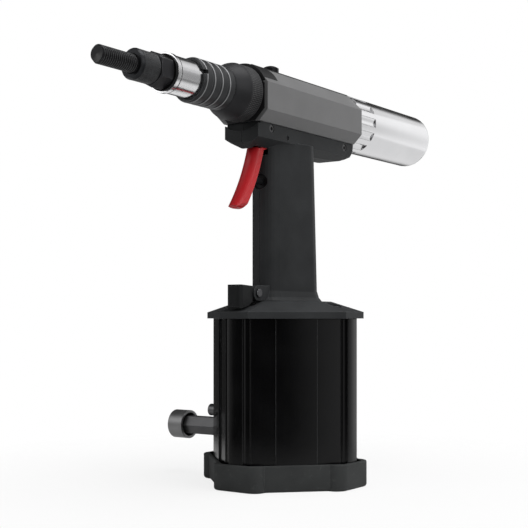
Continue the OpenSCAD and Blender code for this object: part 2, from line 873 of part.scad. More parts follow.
// Hexagonal nut that locks the anvil, with its corners turned off at both faces
module lock_nut() {
    corner_r = nut_af / 2 / cos(30);
    face_r = nut_af / 2;
    edge = 1.2;
    color("#2c2e31") difference() {
        intersection() {
            translate([nut_x, 0, axis_z]) rotate([0, 90, 0]) cylinder(h = nut_t, r = corner_r, $fn = 6);
            turned([[0, nut_x], [face_r, nut_x], [corner_r + 0.2, nut_x + edge],
                [corner_r + 0.2, nut_end - edge], [face_r, nut_end], [0, nut_end]]);
        }
        bar_x(nut_x - 1, nut_end + 1, stem_r + seat_gap);
    }
}

// Nosepiece that the rivet nut bears on
module anvil() {
    r = anvil_d / 2;
    color("#3a3d41") difference() {
        turned([[0, chuck_end + 1], [stem_r, chuck_end + 1], [stem_r, anvil_x], [r - 0.5, anvil_x],
            [r, anvil_x + 0.8], [r, anvil_end - 1.6], [r - 1.2, anvil_end], [0, anvil_end]]);
        bar_x(chuck_end, anvil_end + 1, mandrel_r + free_gap);
    }
}

// Chuck that turns the mandrel and is pulled by the rod
module mandrel_chuck() {
    color("#7c7f82") difference() {
        bar_x(chuck_x, chuck_end, chuck_r);
        translate([chuck_x - 1, 0, axis_z]) rotate([0, 90, 0])
            cylinder(h = socket_l + 1, r = shaft_r + seat_gap, $fn = 6);
        bar_x(mandrel_root, chuck_end + 1, shank_r + run_gap);
    }
}

// Threaded mandrel that the rivet nut is spun onto
module mandrel() {
    edge = 0.9;
    color("#35373a") turned([[0, mandrel_root], [shank_r, mandrel_root], [shank_r, thread_x],
        [mandrel_r, thread_x], [mandrel_r, mandrel_tip - edge], [mandrel_r - edge, mandrel_tip], [0, mandrel_tip]]);
}

// Ribbed front of the adjusting sleeve
module ribbed_sleeve() {
    r = rib_d / 2;
    lip = 1.2;
    ribs = [for (i = [0:rib_n - 1]) let (x = knurl_end + i * rib_pitch)
        each [[r - 0.9, x], [r - 0.1, x + 1], [r, x + rib_pitch - 1.4], [r - 0.9, x + rib_pitch]]];
    color("#6a6d70") difference() {
        turned(concat([[ring_bore, knurl_end]], ribs, [[r - 0.9, rib_end], [ring_bore, rib_end]]));
        bar_x(rib_end - 3, rib_end + 1, r - 0.9 - lip);
        translate([rib_end - 3, 0, axis_z + 2]) cube([4, 2 * r, 2.4]);
    }
}

// Knurled ring that sets the stroke
module knurled_ring() {
    r = knurl_d / 2;
    color("#54575b") turned([[ring_bore, knurl_x], [r - 0.6, knurl_x], [r, knurl_x + 0.6],
        [r, knurl_x + knurl_l - 1], [r - 0.5, knurl_x + knurl_l + 0.8],
        [rib_d / 2, knurl_end - 0.6], [rib_d / 2 - 0.6, knurl_end], [ring_bore, knurl_end]]);
}

// Place on the trigger's blade at a share of its length, offset to its front
function blade_at(share, offset) =
    let (a = 180 + blade_lean + share * blade_turn, far = blade_r - offset)
    [blade_x + blade_r * cos(blade_lean) + far * cos(a),
        -blade_drop + blade_r * sin(blade_lean) + far * sin(a)];

// Trigger with a blade that curves forward and bulges at its front, turning on its pin
module trigger() {
    boss_r = 3.2;
    bulge_r = trigger_w * 0.62;
    rib_w_half = 1.8;
    centre = [blade_x + blade_r * cos(blade_lean), axis_z - blade_drop + blade_r * sin(blade_lean)];
    arm = [[pin_x, -pin_drop], blade_at(0, 0.5), blade_at(0.08, 0.5), blade_at(0.08, 1 - blade_t / 2),
        blade_at(0, 0.2 - blade_t / 2), [pin_x, -pin_drop - boss_r]];
    round_r = trigger_w * 0.54;
    round_z = blade_at(1, 0)[1] + round_r;
    rib_x = blade_at((valve_drop - blade_drop) / blade_l, -blade_t / 2)[0] - trigger_rib;
    color("#c8323c") difference() {
        union() {
            intersection() {
                translate([centre[0], 0, centre[1]]) rotate([90, 0, 0]) rotate([0, 0, 180 + blade_lean])
                    rotate_extrude(angle = blade_turn, $fn = 128) intersection() {
                        translate([blade_r - blade_t / 2, -trigger_w / 2]) square([blade_t, trigger_w]);
                        translate([blade_r - blade_t / 2 + bulge_r, 0]) circle(bulge_r);
                    }
                along_head(0, 2 * head_front) polygon(concat([[-trigger_w, 0], [-trigger_w, round_z]],
                    [for (a = [180:15:360]) [round_r * cos(a), round_z + round_r * sin(a)]],
                    [[trigger_w, round_z], [trigger_w, 0]]));
            }
            translate([0, arm_w / 2, axis_z]) rotate([90, 0, 0]) linear_extrude(arm_w) polygon(arm);
            bar_y([pin_x, -pin_drop], -trigger_w / 2, trigger_w / 2, boss_r);
            translate([rib_x, -rib_w_half, axis_z - valve_drop - 2 * rib_w_half])
                cube([trigger_rib + blade_t / 2, 2 * rib_w_half, 4 * rib_w_half]);
        }
        bar_y([pin_x, -pin_drop], -trigger_w, trigger_w, pin_r + run_gap);
    }
}

// Pin that the trigger turns on
module trigger_pin() {
    color("#9a9da0") bar_y([pin_x, -pin_drop], 0.4 - chin_half, chin_half - 0.4, pin_r);
}

// Brass body of the valve behind the trigger
module valve_body() {
    front_l = 3.5;
    color("#b08d4f") translate([valve_x, 0, axis_z - valve_drop]) rotate([0, 90, 0]) difference() {
        cylinder(h = valve_end - valve_x, r = valve_r);
        translate([0, 0, 0.8]) cylinder(h = valve_end - valve_x - front_l - 0.8, r = valve_r - 1.2);
        cylinder(h = 2 * grip_reach, r = valve_stem_r + run_gap);
    }
}
valve_collar = valve_end - 3.5;
valve_tip = blade_at((valve_drop - blade_drop) / blade_l, -blade_t / 2)[0] - trigger_rib - 0.9;

// Stem that the trigger pushes into the valve
module valve_stem() {
    color("#c4c7ca") translate([0, 0, axis_z - valve_drop]) rotate([0, 90, 0]) {
        translate([0, 0, valve_collar - 2]) cylinder(h = valve_tip - valve_collar + 2, r = valve_stem_r);
        translate([0, 0, valve_collar - 2]) cylinder(h = 1.8, r = valve_r - 1.2 - run_gap);
    }
}

// Spring behind the valve's stem
module valve_spring() {
    start = valve_x + 0.9;
    color("#8f9295") translate([start, 0, axis_z - valve_drop]) rotate([0, 90, 0])
        coil(2.7, 0.35, valve_collar - 2.1 - start, 3);
}

// Lever at the foot of the grip, with a rounded free end
module stop_lever() {
    wide_x = ear_r + 0.6;
    low = lever_rise - lever_h;
    corner = 2.8;
    color("#3d4043") translate([lever_pin[0], 0, lever_pin[1]]) difference() {
        union() {
            intersection() {
                translate([0, lever_w, 0]) rotate([90, 0, 0]) linear_extrude(2 * lever_w)
                    polygon([[wide_x, lever_boss_r], [lever_l - 1, lever_rise], [lever_l, lever_rise - 1],
                        [lever_l, low], [lever_l - 1.2, low - 1.2], [lever_l - 7.5, low + 0.2],
                        [wide_x, -lever_boss_r - 1.2]]);
                translate([0, 0, -2 * lever_h]) linear_extrude(4 * lever_h) {
                    translate([0, corner - lever_w / 2]) square([lever_l, lever_w - 2 * corner]);
                    translate([0, -lever_w / 2]) square([lever_l - corner, lever_w]);
                    for (side = [-1, 1]) translate([lever_l - corner, side * (lever_w / 2 - corner)]) circle(corner);
                }
            }
            translate([0, -lever_boss, -lever_boss_r]) cube([wide_x + 1, 2 * lever_boss, 2 * lever_boss_r]);
            translate([0, lever_boss, 0]) rotate([90, 0, 0]) cylinder(h = 2 * lever_boss, r = lever_boss_r);
        }
        translate([0, lever_w, 0]) rotate([90, 0, 0]) cylinder(h = 2 * lever_w, r = lever_pin_r + run_gap);
    }
}

// Screw through the ears that the stop lever turns on
module lever_screw() {
    out = ear_in + ear_t;
    color("#c4c7ca") translate([lever_pin[0], 0, lever_pin[1]]) rotate([90, 0, 0]) {
        translate([0, 0, -out]) cylinder(h = 2 * out, r = lever_pin_r);
        for (side = [0, 1]) mirror([0, 0, side]) translate([0, 0, out]) cylinder(h = 1, r = lever_pin_r + 0.9);
    }
}

// Screwed nipple with a hexagonal stem that lets the compressed air in
module inlet_nipple() {
    passage_r = 2.5;
    color("#8f9295") translate([0, 0, inlet_z]) rotate([90, 0, 0]) difference() {
        union() {
            translate([0, 0, inlet_root + 0.2]) cylinder(h = tube_lobe - inlet_root, r = inlet_r);
            translate([0, 0, tube_lobe]) cylinder(h = stem_l, r = stem_hex_r, $fn = 6);
            translate([0, 0, stem_end - 1]) cylinder(h = collar_y + collar_l - stem_end + 0.6, r = swivel_r);
        }
        translate([0, 0, inlet_root]) cylinder(h = 2 * stem_end, r = passage_r);
    }
}

// Collar that turns on the nipple
module swivel_collar() {
    color("#9a9da0") translate([0, 0, inlet_z]) rotate([90, 0, 0]) translate([0, 0, collar_y]) difference() {
        cylinder(h = collar_l, r = collar_r);
        translate([0, 0, -1]) cylinder(h = collar_pocket + 1 , r = collar_r - collar_wall);
        cylinder(h = collar_l + 1, r = swivel_r + run_gap);
    }
}

// Knob that bleeds the air above the inlet
module vent_screw() {
    color("#77797b") translate([vent_x, 0, vent_z]) rotate([90, 0, 0]) {
        translate([0, 0, tube_lobe + seat_gap]) cylinder(h = 5.5, r = vent_r);
        translate([0, 0, tube_lobe - 5]) cylinder(h = 6, r = vent_shank_r);
    }
}

foot();
end_cover();
air_cylinder();
top_plate();
tie_screws();
pressure_tube();
gland_bush();
air_piston();
piston_seal();
plunger_rod();
return_spring();
grip_left();
grip_right();
head_block();
panel_left();
panel_right();
oil_plug();
clamp_screws();
cylinder_gland();
pull_piston();
piston_ring();
pull_spring();
drive_shaft();
gear_case();
motor_front_plate();
motor_liner();
rotor();
vanes();
motor_rear_plate();
silencer();
motor_housing();
nose_sleeve();
nose_ring();
nose_seals();
lock_nut();
anvil();
mandrel_chuck();
mandrel();
ribbed_sleeve();
knurled_ring();
trigger();
trigger_pin();
valve_body();
valve_stem();
valve_spring();
stop_lever();
lever_screw();
inlet_nipple();
swivel_collar();
vent_screw();
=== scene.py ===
"""Looks of a hydro-pneumatic rivet nut tool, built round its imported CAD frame."""

import json
import math

import bpy
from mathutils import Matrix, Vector


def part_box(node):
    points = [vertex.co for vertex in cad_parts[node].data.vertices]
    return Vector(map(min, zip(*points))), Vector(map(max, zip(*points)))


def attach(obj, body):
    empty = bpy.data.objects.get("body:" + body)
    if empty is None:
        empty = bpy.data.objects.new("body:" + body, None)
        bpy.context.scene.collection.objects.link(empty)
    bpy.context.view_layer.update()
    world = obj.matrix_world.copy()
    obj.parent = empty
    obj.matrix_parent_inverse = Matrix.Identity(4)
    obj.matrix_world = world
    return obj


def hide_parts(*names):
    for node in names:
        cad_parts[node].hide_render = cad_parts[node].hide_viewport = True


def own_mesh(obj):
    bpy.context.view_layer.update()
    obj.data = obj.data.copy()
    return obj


bl_info = {
    "name": "Rivet nut tool",
    "version": (1, 0, 0),
    "blender": (4, 5, 0),
    "location": "View3D > Sidebar > Rivet nut tool",
    "description": "Finishes, threads, knurls and studio of a rivet nut tool",
    "category": "Object",
}

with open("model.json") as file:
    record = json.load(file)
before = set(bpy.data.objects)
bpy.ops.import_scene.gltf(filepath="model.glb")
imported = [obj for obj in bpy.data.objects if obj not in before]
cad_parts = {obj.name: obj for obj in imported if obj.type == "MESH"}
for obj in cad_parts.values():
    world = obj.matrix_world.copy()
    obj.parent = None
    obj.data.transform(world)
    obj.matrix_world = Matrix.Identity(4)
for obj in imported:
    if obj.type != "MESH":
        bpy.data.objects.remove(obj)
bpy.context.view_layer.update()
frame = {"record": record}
HEAD_AXIS = sum(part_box("mandrel")[i].z for i in (0, 1)) / 2
MM = 0.001
QUARTER = math.pi / 2.0


class Value:
    """A shader socket that takes part in plain arithmetic."""

    def __init__(self, tree, socket):
        self.tree = tree
        self.socket = socket

    def _math(self, operation, *operands):
        node = self.tree.nodes.new("ShaderNodeMath")
        node.operation = operation
        for target, operand in zip(node.inputs, operands):
            join(self.tree, target, operand)
        return Value(self.tree, node.outputs[0])

    def __add__(self, other):
        return self._math("ADD", self, other)

    def __radd__(self, other):
        return self._math("ADD", other, self)

    def __sub__(self, other):
        return self._math("SUBTRACT", self, other)

    def __rsub__(self, other):
        return self._math("SUBTRACT", other, self)

    def __mul__(self, other):
        return self._math("MULTIPLY", self, other)

    def __rmul__(self, other):
        return self._math("MULTIPLY", other, self)

    def __truediv__(self, other):
        return self._math("DIVIDE", self, other)

    def __rtruediv__(self, other):
        return self._math("DIVIDE", other, self)

    def __neg__(self):
        return self._math("MULTIPLY", self, -1.0)

    def sine(self):
        return self._math("SINE", self)

    def part(self):
        """What is left over the whole number below."""
        return self._math("FRACT", self)

    def size(self):
        """The value without its sign."""
        return self._math("ABSOLUTE", self)

    def turn_from(self, other):
        """Angle of the point that this height and another distance give."""
        return self._math("ARCTAN2", self, other)

    def over(self, low, high):
        """0 below low, 1 above high, and a straight ramp between them."""
        ramp = (self - low) / (high - low)
        return ramp._math("MINIMUM", ramp._math("MAXIMUM", ramp, 0.0), 1.0)


def join(tree, target, value):
    """Links a Value to a socket, or sets the socket to a plain value."""
    if isinstance(value, Value):
        tree.links.new(value.socket, target)
    else:
        target.default_value = value


class Shading:
    """The node tree of a material or a world, emptied and ready to fill."""

    def __init__(self, owner):
        owner.use_nodes = True
        self.tree = owner.node_tree
        self.tree.nodes.clear()

    def add(self, kind, settings=None, output=0, numbered=None, **named):
        """Adds a node with its settings and inputs, by number or name, and returns one of its outputs."""
        node = self.tree.nodes.new(kind)
        for name, value in (settings or {}).items():
            setattr(node, name, value)
        for index, value in (numbered or {}).items():
            join(self.tree, node.inputs[index], value)
        for name, value in named.items():
            join(self.tree, node.inputs[name.replace("_", " ")], value)
        return Value(self.tree, node.outputs[output]) if node.outputs else None

    def noise(self, place, scale, detail=3.0):
        """Cloudy value between 0 and 1 with features of one over scale metres."""
        return self.add("ShaderNodeTexNoise", Vector=place, Scale=scale, Detail=detail)

    def mix(self, factor, low, high):
        """Colour between two colours."""
        return self.add("ShaderNodeMix", {"data_type": "RGBA"}, 2, {0: factor, 6: low, 7: high})

    def place(self):
        """Place of the shaded point in its piece's own frame, in metres."""
        return self.add("ShaderNodeTexCoord", output=3)

    def stretched(self, place, stretch):
        """Place with each direction stretched by its own factor."""
        return self.add("ShaderNodeMapping", Vector=place, Scale=stretch)

    def blend(self, factor, first, second):
        """Shader between two shaders."""
        return self.add("ShaderNodeMixShader", numbered={0: factor, 1: first, 2: second})

    def facing(self, first, second):
        """How far two directions agree, from -1 to 1."""
        return self.add("ShaderNodeVectorMath", {"operation": "DOT_PRODUCT"}, 1, {0: first, 1: second})

    def parts(self, place):
        """The three parts of a place or a direction."""
        return [self.add("ShaderNodeSeparateXYZ", output=i, Vector=place) for i in range(3)]

    def along(self, place):
        """Distance along the head in millimetres, and the angle round its axis."""
        x, y, z = self.parts(place)
        return x / MM, (z - HEAD_AXIS).turn_from(y)

    def surface(self, shader, output="ShaderNodeOutputMaterial"):
        """Sends a shader to the output."""
        self.add(output, Surface=shader)


def shade(color, factor):
    """A colour made lighter or darker."""
    return (*(min(1.0, c * factor) for c in color[:3]), 1.0)


def finish(name, color, roughness, metallic=0.0, grain=1400.0, depth=0.02, vary=0.18,
           brushed=None, dust=0.0, spec=0.09, edge=0.5, painted_edge_shading=0.35,
           edge_shading_colour=(0.32, 0.33, 0.34), keen=(0.02, 0.3), painted_highlight=None, highlight_colour=(0.3, 0.3, 0.31)):
    """Procedural finish with grain, uneven sheen, and softened edges in painted edge light and shade.

    brushed draws fine lines, dust adds pale specks, and painted_highlight paints a highlight in
    highlight_colour where it is 1.
    keen says how far a surface bends at an edge before the painted edge colour shows, and where it shows
    in full.
    """
    cloud_scale, speck_scale = 45.0, 260.0
    cloud_sheen, fine_sheen = 0.16, 0.12
    material = bpy.data.materials.new(name)
    s = Shading(material)
    place = s.place()
    cloud = s.noise(place, cloud_scale, 4.0)
    fine = s.noise(s.stretched(place, brushed), 1.0, 2.0) if brushed else s.noise(place, grain, 2.0)
    tone = s.mix(cloud.over(0.3, 0.7), shade(color, 1.0 - vary), shade(color, 1.0 + vary))
    if dust:
        speck = s.noise(place, speck_scale, 6.0).over(0.62, 0.78) * dust
        tone = s.mix(speck, tone, shade((0.5, 0.5, 0.49), 1.0))
    # Painted highlight: where the mask is 1, the colour turns to the lighter highlight colour.
    if painted_highlight:
        tone = s.mix(painted_highlight(*s.along(place)), tone, shade(highlight_colour, 1.0))
    soft = s.add("ShaderNodeBevel", {"samples": 6}, Radius=edge * MM)
    # Painted edge light and shade: where the bevel rounds an edge, the colour turns towards the edge
    # colour. It is a pale painted highlight by default and dark painted shade where a darker colour is
    # given.
    if painted_edge_shading:
        flat = s.add("ShaderNodeNewGeometry", output=1)
        rounded = 1.0 - s.facing(soft, flat)
        tone = s.mix(rounded.over(*keen) * painted_edge_shading, tone, shade(edge_shading_colour, 1.0))
    bump = s.add("ShaderNodeBump", Strength=depth, Distance=MM, Height=fine, Normal=soft)
    shader = s.add(
        "ShaderNodeBsdfPrincipled",
        Base_Color=tone,
        Roughness=(cloud - 0.5) * cloud_sheen + (fine - 0.5) * fine_sheen + roughness,
        Metallic=metallic,
        Specular_IOR_Level=spec,
        Normal=bump,
    )
    s.surface(shader)
    return material


def paint(material, *nodes):
    """Gives CAD nodes one finish."""
    for name in nodes:
        mesh = bpy.data.objects[name].data
        mesh.materials.clear()
        mesh.materials.append(material)


def solid(name, points, faces, sharp=None):
    """Smooth piece from its points and faces, with edges sharper than an angle kept sharp."""
    mesh = bpy.data.meshes.new(name)
    mesh.from_pydata(points, [], faces)
    mesh.update()
    mesh.polygons.foreach_set("use_smooth", [True] * len(mesh.polygons))
    if sharp:
        mesh.set_sharp_from_angle(angle=sharp)
    piece = bpy.data.objects.new(name, mesh)
    bpy.context.scene.collection.objects.link(piece)
    return piece


def lathe(name, outline, relief=None, steps=192):
    """Piece turned about the head's axis from a closed outline of (distance, radius), in millimetres."""
    points, faces = [], []
    count = len(outline)
    for i in range(steps):
        angle = math.tau * i / steps
        for x, r in outline:
            far = (r - (relief(x, r, angle) if relief else 0.0)) * MM
            points.append((x * MM, far * math.cos(angle), HEAD_AXIS + far * math.sin(angle)))
    for i in range(steps):
        a, b = i * count, (i + 1) % steps * count
        for j in range(count):
            k = (j + 1) % count
            faces.append((a + j, a + k, b + k, b + j))
    return solid(name, points, faces, math.radians(40))


def coil(name, node, axis, wire, turns, around=36, sides=10):
    """Round wire wound evenly along an axis inside a CAD node's box, in metres."""
    low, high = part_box(node)
    middle = (Vector(low) + Vector(high)) / 2.0
    across = [i for i in range(3) if i != axis]
    r = (high[across[0]] - low[across[0]]) / 2.0 - wire
    rise = high[axis] - low[axis] - 2.0 * wire
    steps = turns * around
    points, faces = [], []
    for i in range(steps + 1):
        turn = math.tau * i / around
        for j in range(sides):
            side = math.tau * j / sides
            far = r + wire * math.cos(side)
            point = Vector(middle)
            point[across[0]] += far * math.cos(turn)
            point[across[1]] += far * math.sin(turn)
            point[axis] = low[axis] + wire + rise * i / steps + wire * math.sin(side)
            points.append(point)
    for i in range(steps):
        for j in range(sides):
            k = (j + 1) % sides
            faces.append((i * sides + j, i * sides + k, (i + 1) * sides + k, (i + 1) * sides + j))
    faces.append(tuple(reversed(range(sides))))
    faces.append(tuple(range(steps * sides, (steps + 1) * sides)))
    return solid(name, points, faces)


def knurl(count, lead, depth, r, grip):
    """Cut of a crossed knurl between two places along the head, in millimetres, and the mask of a painted
    highlight on its crests.
    """
    run_out = 0.2

    def cut(x, radius, angle):
        if radius < r - 0.01 or not grip[0] <= x <= grip[1]:
            return 0.0
        across = math.sin(count * angle + lead * x) * math.sin(count * angle - lead * x)
        return depth * (0.5 + 0.5 * across)

    def crest(x, angle):
        cross = (angle * float(count) + x * lead).sine() * (angle * float(count) - x * lead).sine()
        begins = x.over(grip[0], grip[0] + run_out)
        ends = x.over(grip[1] - run_out, grip[1])
        return (-cross).over(0.1, 0.9) * begins * (1.0 - ends)

    return cut, crest


def upright(name, rings, looped=False, steps=1440):
    """Upright piece from rings, closed in a loop or on its axis.

    A ring is its radius in millimetres, as a function of the angle, and its height in metres.
    """
    turns = [math.tau * i / steps for i in range(steps)]
    points, faces = [], []
    for radius, z in rings:
        for turn in turns:
            r = radius(turn) * MM
            points.append((r * math.cos(turn), r * math.sin(turn), z))
    for j in range(len(rings) if looped else len(rings) - 1):
        a, b = j * steps, (j + 1) % len(rings) * steps
        for i in range(steps):
            k = (i + 1) % steps
            faces.append((a + i, a + k, b + k, b + i))
    if not looped:
        under, over = len(points), len(points) + 1
        last = (len(rings) - 1) * steps
        points += [(0.0, 0.0, rings[0][1]), (0.0, 0.0, rings[-1][1])]
        for i in range(steps):
            k = (i + 1) % steps
            faces += [(under, k, i), (over, last + i, last + k)]
    return solid(name, points, faces, math.radians(25))


def off_lobe(turn):
    """Angle from the middle of the nearest lobe."""
    return (turn + QUARTER / 2.0) % QUARTER - QUARTER / 2.0


def off_side(turn):
    """Angle from the middle of the nearest wide side."""
    return turn % QUARTER - QUARTER / 2.0


def fitted(piece, node, body, material):
    """Puts a finished piece in the place of a CAD node."""
    piece.data.materials.append(material)
    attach(piece, body)
    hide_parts(node)
    return piece


def span(start, end, pitch):
    """Places from start to end, about one pitch apart."""
    count = max(2, round((end - start) / pitch))
    return [start + (end - start) * i / count for i in range(count + 1)]


def node_span(node):
    """First and last place of a CAD node along the head, and its radius, in millimetres."""
    low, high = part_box(node)
    return low.x / MM, high.x / MM, (high.y - low.y) / 2 / MM


class ToolFinish(bpy.types.PropertyGroup):
    """Colours and sizes of the tool's looks."""

    moulded: bpy.props.FloatVectorProperty(
        name="Grip", description="Colour of the grip and body", subtype="COLOR", size=3,
        min=0.0, max=1.0, default=(0.0335, 0.0350, 0.0365))
    panel: bpy.props.FloatVectorProperty(
        name="Side panels", description="Colour of the side panels", subtype="COLOR", size=3,
        min=0.0, max=1.0, default=(0.198, 0.198, 0.200))
    tube: bpy.props.FloatVectorProperty(
        name="Air cylinder", description="Colour of the air cylinder", subtype="COLOR", size=3,
        min=0.0, max=1.0, default=(0.0022, 0.0022, 0.0025))
    rubber: bpy.props.FloatVectorProperty(
        name="Foot", description="Colour of the rubber foot", subtype="COLOR", size=3,
        min=0.0, max=1.0, default=(0.042, 0.044, 0.044))
    red: bpy.props.FloatVectorProperty(
        name="Trigger", description="Colour of the trigger", subtype="COLOR", size=3,
        min=0.0, max=1.0, default=(0.60, 0.020, 0.026))
    pitch: bpy.props.FloatProperty(
        name="Thread pitch", description="Pitch of the mandrel's thread in millimetres",
        min=0.5, max=3.0, default=1.5)
    knurls: bpy.props.IntProperty(
        name="Knurls", description="Knurls round the adjusting ring", min=30, max=120, default=46)


class ToolStage(bpy.types.PropertyGroup):
    """Light and view of the studio."""

    key: bpy.props.FloatProperty(
        name="Key light", description="Power of the key light", unit="POWER", min=0.0, default=5.2)
    back: bpy.props.FloatProperty(
        name="Back light", description="Power of the light behind the tool", unit="POWER",
        min=0.0, default=1.6)
    top: bpy.props.FloatProperty(
        name="Top light", description="Power of the light above the tool", unit="POWER",
        min=0.0, default=10.0)
    fill: bpy.props.FloatProperty(
        name="Fill light", description="Power of the fill light", unit="POWER", min=0.0, default=2.0)
    room: bpy.props.FloatProperty(
        name="Room light", description="Level of the light from all round", subtype="FACTOR",
        min=0.0, max=2.0, default=0.22)
    walls: bpy.props.FloatProperty(
        name="Walls", description="Level of the room as shiny pieces mirror it", subtype="FACTOR",
        min=0.0, max=2.0, default=1.0)
    lens: bpy.props.FloatProperty(
        name="Lens", description="Focal length of the camera in millimetres", min=20.0, default=74.1)
    camera: bpy.props.FloatVectorProperty(
        name="Camera", description="Place of the camera", subtype="TRANSLATION", unit="LENGTH",
        size=3, default=(0.5696, 0.3845, 0.1034))


class RIVET_OT_base(bpy.types.Operator):
    """Draw the foot and the air cylinder, and finish the top plate and the air inlet"""

    bl_idname = "rivet.base"
    bl_label = "Base"

    def execute(self, context):
        look = context.scene.tool_finish
        # The rubber foot's edges carry the default painted highlight, a lighter band where the bevel
        # rounds them.
        self.foot(finish("rubber", look.rubber, 0.56, grain=900.0, depth=0.05, dust=0.05))
        # The anodised tube's edges carry a painted highlight, lighter where the bevel rounds them.
        self.cylinder(finish("anodised", look.tube, 0.17, brushed=(2600.0, 2600.0, 12.0), depth=0.01,
                             spec=0.22, edge=0.8, painted_edge_shading=0.25))
        paint(finish("casting", shade(look.moulded, 1.2), 0.46, grain=1100.0, depth=0.06), "top_plate")
        paint(finish("socket_steel", (0.02, 0.02, 0.022), 0.38, 0.7), "tie_screws")
        paint(finish("inlet_steel", (0.12, 0.12, 0.123), 0.36, 0.8), "inlet_nipple", "vent_screw")
        paint(finish("collar_metal", (0.22, 0.22, 0.222), 0.40, 0.8, brushed=(12.0, 2400.0, 12.0)),
              "swivel_collar")
        return {"FINISHED"}

    def cylinder(self, material):
        """Drawn tube with four lobes, and four crowned sides that each carry a raised band."""
        low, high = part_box("air_cylinder")
        lobe, side, bore = high.x / MM, 42.0, 33.0
        band, rise, groove = 25.0, 1.0, 3.1
        lobe_crown, side_crown, passes = 0.6, 1.6, 3
        lobe_half = side * math.sqrt(2.0) - lobe
        side_half = (lobe - lobe_half) / math.sqrt(2.0)

        def crowned(distance, crown, half, angle):
            r = distance / math.cos(angle)
            for _ in range(passes):
                r = (distance - crown * (r * math.sin(angle) / half) ** 2) / math.cos(angle)
            return r

        def outside(turn):
            angle = off_side(turn)
            r = crowned(side, side_crown, side_half, angle)
            if abs(r * math.sin(angle)) < band / 2.0:
                r += rise
            angle = off_lobe(turn)
            r = min(r, crowned(lobe, lobe_crown, lobe_half, angle))
            for corner in (lobe_half, -lobe_half):
                along = lobe * math.cos(angle) + corner * math.sin(angle)
                chord = along ** 2 - lobe ** 2 - corner ** 2 + groove ** 2
                if chord > 0.0:
                    r = min(r, along - math.sqrt(chord))
            return r

        def inside(turn):
            return bore

        rings = ((outside, low.z), (outside, high.z), (inside, high.z), (inside, low.z))
        piece = upright("air_cylinder_drawn", rings, looped=True)
        fitted(piece, "air_cylinder", "tool", material)

    def foot(self, material):
        """Rubber foot with a rounded pad around each lobe of the cylinder."""
        low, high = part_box("foot")
        lobe, side, pad, corner = high.x / MM, 44.6, 17.5, 7.0
        seat_lobe, seat_side, floor = 51.1, 43.1, 3.0
        under, rim, bends, set_back = 1.8, 0.9, 5, 1.0

        def padded(inset):
            def radius(turn):
                angle = abs(off_lobe(turn))
                r = lobe / math.cos(angle)
                x, y = lobe - corner, pad - corner
                if r * math.sin(angle) > y:
                    along = x * math.cos(angle) + y * math.sin(angle)
                    chord = along ** 2 - x ** 2 - y ** 2 + corner ** 2
                    r = along + math.sqrt(chord) if chord > 0.0 else 0.0
                    if r * math.cos(angle) < x:
                        r = pad / math.sin(angle)
                between = min(side / math.cos(off_side(turn)), (lobe - set_back) / math.cos(angle))
                return max(r, between) - inset
            return radius

        def seat(turn):
            return min(seat_lobe / math.cos(off_lobe(turn)), seat_side / math.cos(off_side(turn)))

        rings = []
        bent = [QUARTER * i / bends for i in range(bends + 1)]
        for bend in bent:
            inset, up = under * (1.0 - math.sin(bend)), under * (1.0 - math.cos(bend))
            rings.append((padded(inset), low.z + up * MM))
        for bend in bent:
            inset, down = rim * (1.0 - math.cos(bend)), rim * (1.0 - math.sin(bend))
            rings.append((padded(inset), high.z - down * MM))
        rings += [(seat, high.z), (seat, low.z + floor * MM)]
        fitted(upright("foot_padded", rings, steps=720), "foot", "tool", material)


class RIVET_OT_body(bpy.types.Operator):
    """Finish the grip, the side panels and the spine"""

    bl_idname = "rivet.body"
    bl_label = "Grip and head"

    def execute(self, context):
        look = context.scene.tool_finish
        paint(finish("moulding", look.moulded, 0.50, grain=1600.0, depth=0.08), "grip_left", "grip_right")
        paint(finish("panel", look.panel, 0.42, 0.15, grain=1800.0, depth=0.05, vary=0.06),
              "panel_left", "panel_right")
        paint(finish("spine", (0.018, 0.018, 0.019), 0.42, grain=1500.0, depth=0.04), "head_block")
        paint(finish("black_screw", (0.010, 0.010, 0.011), 0.34, 0.4), "oil_plug", "trigger_pin")
        # The clamp screws' edges carry painted shade, a near-black line where the bevel rounds them.
        paint(finish("clamp_steel", (0.10, 0.10, 0.103), 0.36, 0.6, edge=0.6, painted_edge_shading=0.9,
                     edge_shading_colour=(0.002, 0.002, 0.002)), "clamp_screws")
        return {"FINISHED"}


class RIVET_OT_controls(bpy.types.Operator):
    """Finish the trigger and the stop lever"""

    bl_idname = "rivet.controls"
    bl_label = "Trigger and lever"

    def execute(self, context):
        look = context.scene.tool_finish
        paint(finish("trigger_red", look.red, 0.34, grain=1300.0, depth=0.03, vary=0.08, spec=0.3),
              "trigger")
        paint(finish("lever_black", shade(look.moulded, 0.42), 0.42, grain=1300.0, depth=0.04),
              "stop_lever")
        paint(finish("pin_steel", (0.10, 0.10, 0.105), 0.36, 1.0), "lever_screw")
        return {"FINISHED"}


